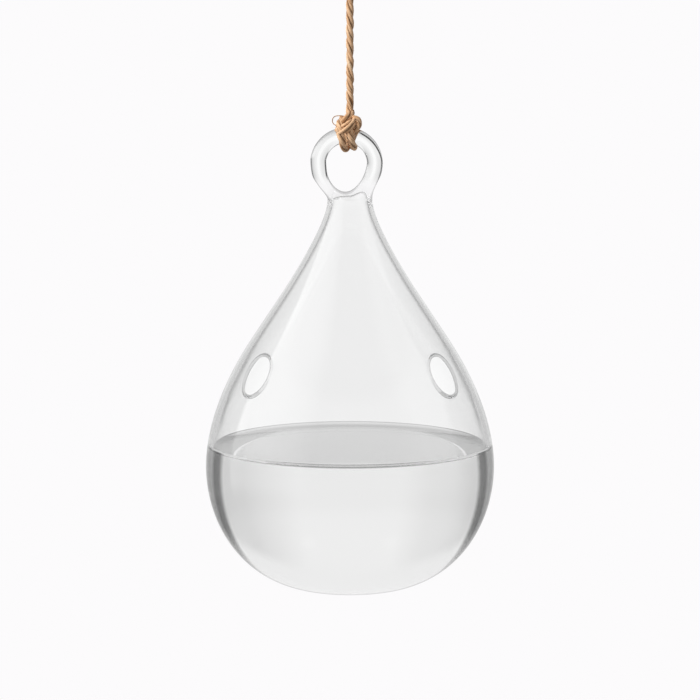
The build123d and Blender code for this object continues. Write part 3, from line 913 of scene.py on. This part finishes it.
# Straight light, at the fused root and the hole rims, which are drawn by painted shade alone
root_painted_outline = add(tree, "ValToRGB", {"Fac": slope.outputs["Facing"]})
fill_ramp(root_painted_outline, PAINTED_ROOT_OUTLINE)
back_face = skin_normal.outputs["Backfacing"]
front_face = add(tree, "Math", [1.0, back_face], operation="SUBTRACT")
root_and_edge_painted_shade = add(
    tree, "Mix", {0: front_face, 6: root_painted_outline, 7: painted_edge_colour}, data_type="RGBA", blend_type="MULTIPLY"
)
faces_passed = rays.outputs["Transparent Depth"]
first_faces = add(tree, "Math", [faces_passed, PAST_ONE_FACE], operation="LESS_THAN")
rim_painted_shade = add(tree, "Math", [first_faces, PAINTED_RIM_SHADE - 1.0, 1.0], operation="MULTIPLY_ADD")
rim = add(tree, "Attribute", attribute_name="rim")
straight_painted_shade = add(tree, "Mix", {0: rim.outputs["Fac"], 6: root_and_edge_painted_shade, 7: rim_painted_shade}, data_type="RGBA")
straight_light = add(tree, "BsdfTransparent", {"Color": straight_painted_shade})

# Light caught in the wall leaves it straight too, and so does light that came into the dry wall through a
# rim or the root
caught = add(tree, "Math", [rays.outputs["Ray Depth"], CAUGHT_DEPTH], operation="GREATER_THAN")
fused = add(tree, "Attribute", attribute_name="fused")
let_out = add(tree, "Math", [caught, fused.outputs["Fac"]], operation="MAXIMUM")
let_out = add(tree, "Math", [let_out, rim.outputs["Fac"]], operation="MAXIMUM")
through_rim = add(tree, "Math", [faces_passed, PAST_NO_FACE], operation="GREATER_THAN")
through_rim = add(tree, "Math", [through_rim, back_face], operation="MULTIPLY")
through_rim = add(tree, "Math", [through_rim, below], operation="SUBTRACT", use_clamp=True)
let_out = add(tree, "Math", [let_out, through_rim], operation="MAXIMUM")
either_face = add(tree, "MixShader", [let_out, bent_light, straight_light])
lamp_light = add(tree, "BsdfTransparent", {"Color": linear("#F2F4F4")})
glass_surface = add(tree, "MixShader", [rays.outputs["Is Shadow Ray"], either_face, lamp_light])
grey_depth = add(tree, "VolumeAbsorption", {"Color": linear("#B4B8B8"), "Density": 11.0})
add(tree, "OutputMaterial", {"Surface": glass_surface, "Volume": grey_depth})

glass_vessel = make_piece("glass_vessel", glass_points, glass_faces, blown_glass, glass_caps)
mark(glass_vessel, "inside", inside_faces, "FACE")
mark(glass_vessel, "fused", FUSED_CLEAR * np.exp(-(((glass_points[:, 2] - ROOT_MIDDLE) / ROOT_REACH) ** 4)))
mark(glass_vessel, "rim", rim_share(glass_points))
rounding = glass_vessel.modifiers.new("rounding", "SUBSURF")
rounding.levels = rounding.render_levels = 1


# Still water: clear, with a level mirroring top that climbs the glass all round. Only its top bends light,
# because the wet glass already does so round the sides.

still_water = new_material("still_water")
tree = still_water.node_tree
skin = add(tree, "Attribute", attribute_name="skin")
water_top = add(tree, "BsdfGlass", {"Color": CLEAR, "Roughness": 0.0, "IOR": WATER_IOR})
water_side = add(tree, "BsdfTransparent", {"Color": CLEAR})
either_side = add(tree, "MixShader", [skin.outputs["Fac"], water_top, water_side])
rays = add(tree, "LightPath")
lamp_light = add(tree, "BsdfTransparent", {"Color": linear("#F8FAFA")})
water_surface = add(tree, "MixShader", [rays.outputs["Is Shadow Ray"], either_side, lamp_light])
water_depth = add(tree, "VolumeAbsorption", {"Color": linear("#E6E6E5"), "Density": 3.0})
add(tree, "OutputMaterial", {"Surface": water_surface, "Volume": water_depth})

# Columns of the water, rows of its side, and the fine step of the wall where the side starts
WATER_COLUMNS, SIDE_ROWS, SIDE_START = 128, 40, 60
# The way in from the brim to the rows of the climbing edge, and to the first row of the flat, with the last
# row's radius and their count
EDGE_WAYS = 0.15, 0.35, 0.6, 0.95, 1.4, 2.0, 2.8, 4.0, 6.0
FLAT_WAY, FLAT_RADIUS, FLAT_ROWS = 10, 2, 12
# Rows next to the brim that are clear at the front's left and right, and as many past them that are so in
# part, with the sines and cosines of the azimuth over which that sets in
CLEAR_ROWS = 3
CLEAR_SINES, CLEAR_COSINES = (0.3, 0.8), (0.0, 0.2)


def water_body():
    """Water turned about the upright axis.

    Its profile is the wall's inside up to the brim, and then goes inward on a level that rises by an
    exponential of the way to the glass. Each face has a share, 1 where light goes straight through it.
    """
    heights = wall(fine, WALL + WATER_GAP)[:, 1]
    brim_reach = fine_reach[np.argmax(heights > WATER_HEIGHT + MENISCUS_RISE)]
    side_station = np.interp(np.linspace(fine_reach[SIDE_START], brim_reach, SIDE_ROWS), fine_reach, fine)
    side = wall(side_station, WALL + WATER_GAP)
    edge = side[-1, 0]
    inward = edge - np.concatenate([EDGE_WAYS, np.linspace(FLAT_WAY, edge - FLAT_RADIUS, FLAT_ROWS)])
    top = np.stack([inward, WATER_HEIGHT + MENISCUS_RISE * np.exp((inward - edge) / MENISCUS_REACH)], -1)
    profile = np.concatenate([side, top])
    turn = turns(WATER_COLUMNS)
    radius = profile[:, :1]
    height = np.broadcast_to(profile[:, 1:], (len(profile), WATER_COLUMNS))
    points = np.stack([radius * np.sin(turn), -radius * np.cos(turn), height], -1)
    faces = quads(len(profile), WATER_COLUMNS, closed=True)
    ring = np.arange(WATER_COLUMNS)
    caps = [ring, ring + (len(profile) - 1) * WATER_COLUMNS]
    middle = turn + math.pi / WATER_COLUMNS
    front_side = np.interp(np.abs(np.sin(middle)), CLEAR_SINES, (0, 1))
    front_side = front_side * np.interp(np.cos(middle), CLEAR_COSINES, (0, 1))
    brim = len(side) - 1
    skin_share = np.zeros((len(profile) - 1, WATER_COLUMNS))
    skin_share[:brim] = 1.0
    skin_share[brim : brim + CLEAR_ROWS] = front_side
    skin_share[brim + CLEAR_ROWS : brim + 2 * CLEAR_ROWS] = MENISCUS_CLEAR * front_side
    return points.reshape(-1, 3), faces, caps, np.append(skin_share.ravel(), [1.0, 0.0])


water_points, water_faces, water_caps, water_skin = water_body()
water_fill = make_piece("water_fill", water_points, water_faces, still_water, water_caps)
mark(water_fill, "skin", water_skin, "FACE")


# What each piece rides on, stands for and is made of

for piece, body, nodes, finish in (
    (glass_vessel, "vessel", ("glass_bulb", "glass_loop"), "clear_glass"),
    (water_fill, "vessel", ("water",), "water"),
    (hitch_twine, "hitch", ("ring_hitch",), "jute_twine"),
    (lower_knot_twine, "lower_knot", ("lower_knot", "lower_tail"), "jute_twine"),
    (cord_twine, "cord", ("hanging_cord",), "jute_twine"),
    (upper_knot_twine, "upper_knot", ("upper_knot", "upper_tail"), "jute_twine"),
    (eye_twine, "hanging_eye", ("hanging_eye",), "jute_twine"),
):
    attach(piece, body)
    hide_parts(*nodes)


# Studio: a pale floor that fades into a white surround, and a soft key from the left

FLOOR_DROP, FLOOR_REACH = 140.0, 520.0
FLOOR_RINGS, FLOOR_SIDES, FLOOR_MIDDLE = 24, 64, 0.02
# Way from the axis over which the floor fades, seen plainly and through the glass
FADE_PLAIN, FADE_THROUGH = (250.0, 500.0), (60.0, 160.0)
# Glow that makes the floor white to the eye and to mirrors, and how much of it is taken off behind the glass
FLOOR_GLOW, THROUGH_LOSS = 0.58, 0.6
TOOTH_WIDTH, TOOTH_HEIGHT = 2.0, 0.05
BACKDROP = "#FCFBFC"

# Matt white paper: even, without shine, with a faint tooth, which is drawn 2 mm wide so that it shows
paper = new_material("matt_white_paper")
tree = paper.node_tree
spot = add(tree, "TexCoord")
flat_spot = add(tree, "VectorMath", [spot.outputs["Object"], LEVEL], operation="MULTIPLY")
reach = add(tree, "VectorMath", [flat_spot], operation="LENGTH")
fades = [
    add(tree, "MapRange", [reach, start * MM, end * MM], **EASE)
    for start, end in (FADE_PLAIN, FADE_THROUGH)
]
rays = add(tree, "LightPath")
through_glass = rays.outputs["Is Transmission Ray"]
fade = add(tree, "Mix", {0: through_glass, 2: fades[0], 3: fades[1]}, data_type="FLOAT")
tooth = add(
    tree, "TexNoise", {"Vector": spot.outputs["Object"], "Scale": 1 / (TOOTH_WIDTH * MM), "Detail": 2.0}
)
grain = add(tree, "Bump", {"Height": tooth, "Strength": 0.1, "Distance": TOOTH_HEIGHT * MM})
matt = add(tree, "BsdfDiffuse", {"Color": linear("#ABABAB"), "Normal": grain})
plain_sight = add(
    tree, "Math", [rays.outputs["Is Camera Ray"], rays.outputs["Is Glossy Ray"]], operation="MAXIMUM"
)
plain_sight = add(
    tree, "Math", [through_glass, -THROUGH_LOSS, plain_sight], operation="MULTIPLY_ADD", use_clamp=True
)
bright = add(tree, "Emission", {"Color": linear(BACKDROP), "Strength": FLOOR_GLOW})
dark = add(tree, "Emission", {"Color": linear("#000000"), "Strength": 0.0})
glow = add(tree, "MixShader", [plain_sight, dark, bright])
lit = add(tree, "AddShader", [matt, glow])
clear = add(tree, "BsdfTransparent")
floor_surface = add(tree, "MixShader", [fade, lit, clear])
add(tree, "OutputMaterial", {"Surface": floor_surface})

floor_radius = np.linspace(FLOOR_MIDDLE, 1, FLOOR_RINGS)[:, None] * FLOOR_REACH
floor_turn = turns(FLOOR_SIDES)
floor_grid = np.broadcast_arrays(
    floor_radius * np.sin(floor_turn), -floor_radius * np.cos(floor_turn), -FLOOR_DROP
)
floor_points = np.stack(floor_grid, -1).reshape(-1, 3)
floor_faces = quads(FLOOR_RINGS, FLOOR_SIDES, closed=True).tolist() + [list(range(FLOOR_SIDES))]
floor_mesh = bpy.data.meshes.new("floor")
floor_mesh.from_pydata(place(floor_points).tolist(), [], floor_faces)
floor_mesh.materials.append(paper)
floor = show("floor", floor_mesh)

# Brightness of the surround seen through the glass, by degrees round from straight behind towards the left:
# white behind the vase, with narrow grey flags to the sides that draw its edges
SURROUND = (
    (-180, 0.60), (-171, 0.93), (-84, 0.93), (-75, 0.55), (-57, 0.50), (-54, 0.32), (-52, 0.20),
    (-44, 0.20), (-42.5, 0.50), (-38, 0.58), (-34, 0.66), (-25, 0.76), (-17, 0.85), (-10, 0.94),
    (10, 0.94), (17, 0.85), (25, 0.82), (34, 0.75), (39, 0.66), (40.3, 0.58), (41.8, 0.19),
    (53, 0.17), (55, 0.26), (75, 0.40), (84, 0.93), (128, 0.95), (141.5, 0.25), (155, 0.92),
    (173.5, 0.25), (180, 0.60),
)
# The same by the sine of the angle up or down, past the flags
OVERHEAD = (
    (-1.0, 0.50), (-0.90, 0.58), (-0.52, 0.58), (-0.38, 0.80), (-0.28, 0.86), (-0.15, 0.93),
    (0.60, 0.93), (0.70, 0.30), (0.88, 0.30), (0.96, 0.90), (1.0, 0.95),
)
# The flags' middle above the level, and the sines away from it over which they end
FLAG_RISE, FLAG_ENDS = 0.06, (0.19, 0.33)
# Seen through the loop's rod the flags are black; past the two walls of the bulb, or the root, they are pale
ROD_DEPTH, SOFT_FLAG = 3.5, 0.74
# Straight behind, seen past one wall only, as through a stem hole, the surround is a little whiter
STRAIGHT_GAIN, STRAIGHT_ENDS = 0.10, (0.08, 0.14)
# A slanting black flag low behind the left, which draws the dark line on the loop's right: the direction
# across it, half its width, its right end and its near end
SLANT_FLAG, SLANT_TONE = (-0.242, -0.515, -0.823), (0.02, 0.02, 0.02, 1.0)
SLANT_WIDTH, SLANT_RIGHT, SLANT_NEAR = (0.08, 0.12), (0.12, 0.2), (0.45, 0.55)
# The window light, mirrored in the glass as a tall wedge, by degrees round and by the sine of the angle up
WINDOW_LIGHT = (
    (-180, 0.0), (-140, 0.0), (-115, 0.3), (-85, 0.3), (-78, 0.0), (68, 0.0), (71, 1.0), (86, 0.80),
    (105, 0.75), (118, 0.62), (135, 0.38), (150, 0.0), (180, 0.0),
)
WINDOW_FALL = (-1.0, 0.0), (-0.3, 0.0), (-0.18, 0.4), (0.05, 0.45), (0.2, 1.0), (1.0, 1.0)
WINDOW_LEVEL = 2.3
# What else is mirrored: a dim room, and the backdrop straight behind
ROOM_LEVEL, BACKDROP_LEVEL, BACKDROP_ENDS = 0.2, 0.8, (0.88, 0.98)
# Light that falls on matt surfaces from all round
FILL_LEVEL = 0.33

world = bpy.data.worlds.new("studio")
world.use_nodes = True
bpy.context.scene.world = world
tree = world.node_tree
tree.nodes.clear()
aim = add(tree, "TexCoord")
aim_parts = add(tree, "SeparateXYZ", [aim.outputs["Generated"]])
leftness = add(tree, "Math", [aim_parts.outputs["X"], -1.0], operation="MULTIPLY")
round_angle = add(tree, "Math", [leftness, aim_parts.outputs["Y"]], operation="ARCTAN2")
round_share = add(tree, "Math", [round_angle, 1 / (2 * math.pi), 0.5], operation="MULTIPLY_ADD")
flags = add(tree, "ValToRGB", {"Fac": round_share})
fill_ramp(flags, [(degrees / 360 + 0.5, level) for degrees, level in SURROUND])
rays = add(tree, "LightPath")
past_bulb = add(tree, "Math", [rays.outputs["Ray Depth"], ROD_DEPTH], operation="GREATER_THAN")
past_root = add(
    tree, "Math", [rays.outputs["Transparent Depth"], PAST_ONE_FACE], operation="GREATER_THAN"
)
past_bulb = add(tree, "Math", [past_bulb, past_root], operation="MAXIMUM")
soft_flag = add(tree, "Math", [past_bulb, SOFT_FLAG], operation="MULTIPLY")
flag_level = add(tree, "Math", [flags, soft_flag], operation="MAXIMUM")
aside = add(tree, "Math", [leftness], operation="ABSOLUTE")
straight_on = add(tree, "MapRange", [aside, *STRAIGHT_ENDS, STRAIGHT_GAIN, 0.0], **EASE)
straight_gain = add(tree, "Math", [straight_on, past_bulb], operation="SUBTRACT", use_clamp=True)
flag_level = add(tree, "Math", [flag_level, straight_gain], operation="ADD")
steepness = add(tree, "Math", [aim_parts.outputs["Z"], FLAG_RISE], operation="SUBTRACT")
steepness = add(tree, "Math", [steepness], operation="ABSOLUTE")
past_flags = add(tree, "MapRange", [steepness, *FLAG_ENDS], **EASE)
height_share = add(tree, "Math", [aim_parts.outputs["Z"], 0.5, 0.5], operation="MULTIPLY_ADD")
overhead = add(tree, "ValToRGB", {"Fac": height_share})
fill_ramp(overhead, [(sine / 2 + 0.5, level) for sine, level in OVERHEAD])
seen_through = add(tree, "Mix", {0: past_flags, 6: flag_level, 7: overhead}, data_type="RGBA")

off_slant = add(tree, "VectorMath", [aim.outputs["Generated"], SLANT_FLAG], operation="DOT_PRODUCT")
off_slant = add(tree, "Math", [off_slant], operation="ABSOLUTE")
slant = add(tree, "MapRange", [off_slant, *SLANT_WIDTH, 1.0, 0.0], **EASE)
for side, ends in ((leftness, SLANT_RIGHT), (aim_parts.outputs["Y"], SLANT_NEAR)):
    within = add(tree, "MapRange", [side, *ends], **EASE)
    slant = add(tree, "Math", [slant, within], operation="MULTIPLY")
slant = add(tree, "Math", [slant, past_bulb], operation="SUBTRACT", use_clamp=True)
seen_through = add(tree, "Mix", {0: slant, 6: seen_through, 7: SLANT_TONE}, data_type="RGBA")

window_round = add(tree, "ValToRGB", {"Fac": round_share})
fill_ramp(window_round, [(degrees / 360 + 0.5, level) for degrees, level in WINDOW_LIGHT])
window_height = add(tree, "ValToRGB", {"Fac": height_share})
fill_ramp(window_height, [(sine / 2 + 0.5, level * WINDOW_LEVEL) for sine, level in WINDOW_FALL])
room_ends = [*BACKDROP_ENDS, ROOM_LEVEL, BACKDROP_LEVEL]
room_level = add(tree, "MapRange", [aim_parts.outputs["Y"], *room_ends], **EASE)
mirrored = add(tree, "Math", [window_round, window_height, room_level], operation="MULTIPLY_ADD")

# Which of these a ray meets: plain to the eye, mirrored, seen through the glass, or caught in its wall
backdrop = add(tree, "Background", {"Color": linear(BACKDROP), "Strength": 1.0})
through = add(tree, "Background", {"Color": seen_through, "Strength": 1.0})
room = add(tree, "Background", {"Color": CLEAR, "Strength": mirrored})
fill = add(tree, "Background", {"Color": CLEAR, "Strength": FILL_LEVEL})
glossy = add(tree, "MixShader", [rays.outputs["Is Glossy Ray"], fill, room])
refracted = add(tree, "MixShader", [rays.outputs["Is Transmission Ray"], glossy, through])
caught = add(tree, "Math", [rays.outputs["Ray Depth"], CAUGHT_DEPTH], operation="GREATER_THAN")
let_out = add(tree, "Background", {"Color": CLEAR, "Strength": CAUGHT_LEVEL})
bounced = add(tree, "MixShader", [caught, refracted, let_out])
surround = add(tree, "MixShader", [rays.outputs["Is Camera Ray"], bounced, backdrop])
add(tree, "OutputWorld", {"Surface": surround})

# Enough bounces for light to pass both walls, the water and the loop, and to be let out of the glass
LIGHT_BOUNCES = 64
cycles = bpy.context.scene.cycles
cycles.max_bounces = cycles.transmission_bounces = cycles.glossy_bounces = LIGHT_BOUNCES
cycles.transparent_max_bounces = LIGHT_BOUNCES

# Key: a wide soft lamp high at the left, which the glass and the water don't mirror
KEY_ENERGY, KEY_WIDTH, KEY_TILT, KEY_TURN = 3.0, 25, 56, -62
key_data = bpy.data.lights.new("key", "SUN")
key_data.energy = KEY_ENERGY
key_data.angle = math.radians(KEY_WIDTH)
key = show("key", key_data)
key.rotation_euler = (math.radians(KEY_TILT), 0.0, math.radians(KEY_TURN))
key.visible_glossy = key.visible_transmission = False

bpy.context.scene.view_settings.view_transform = "Standard"
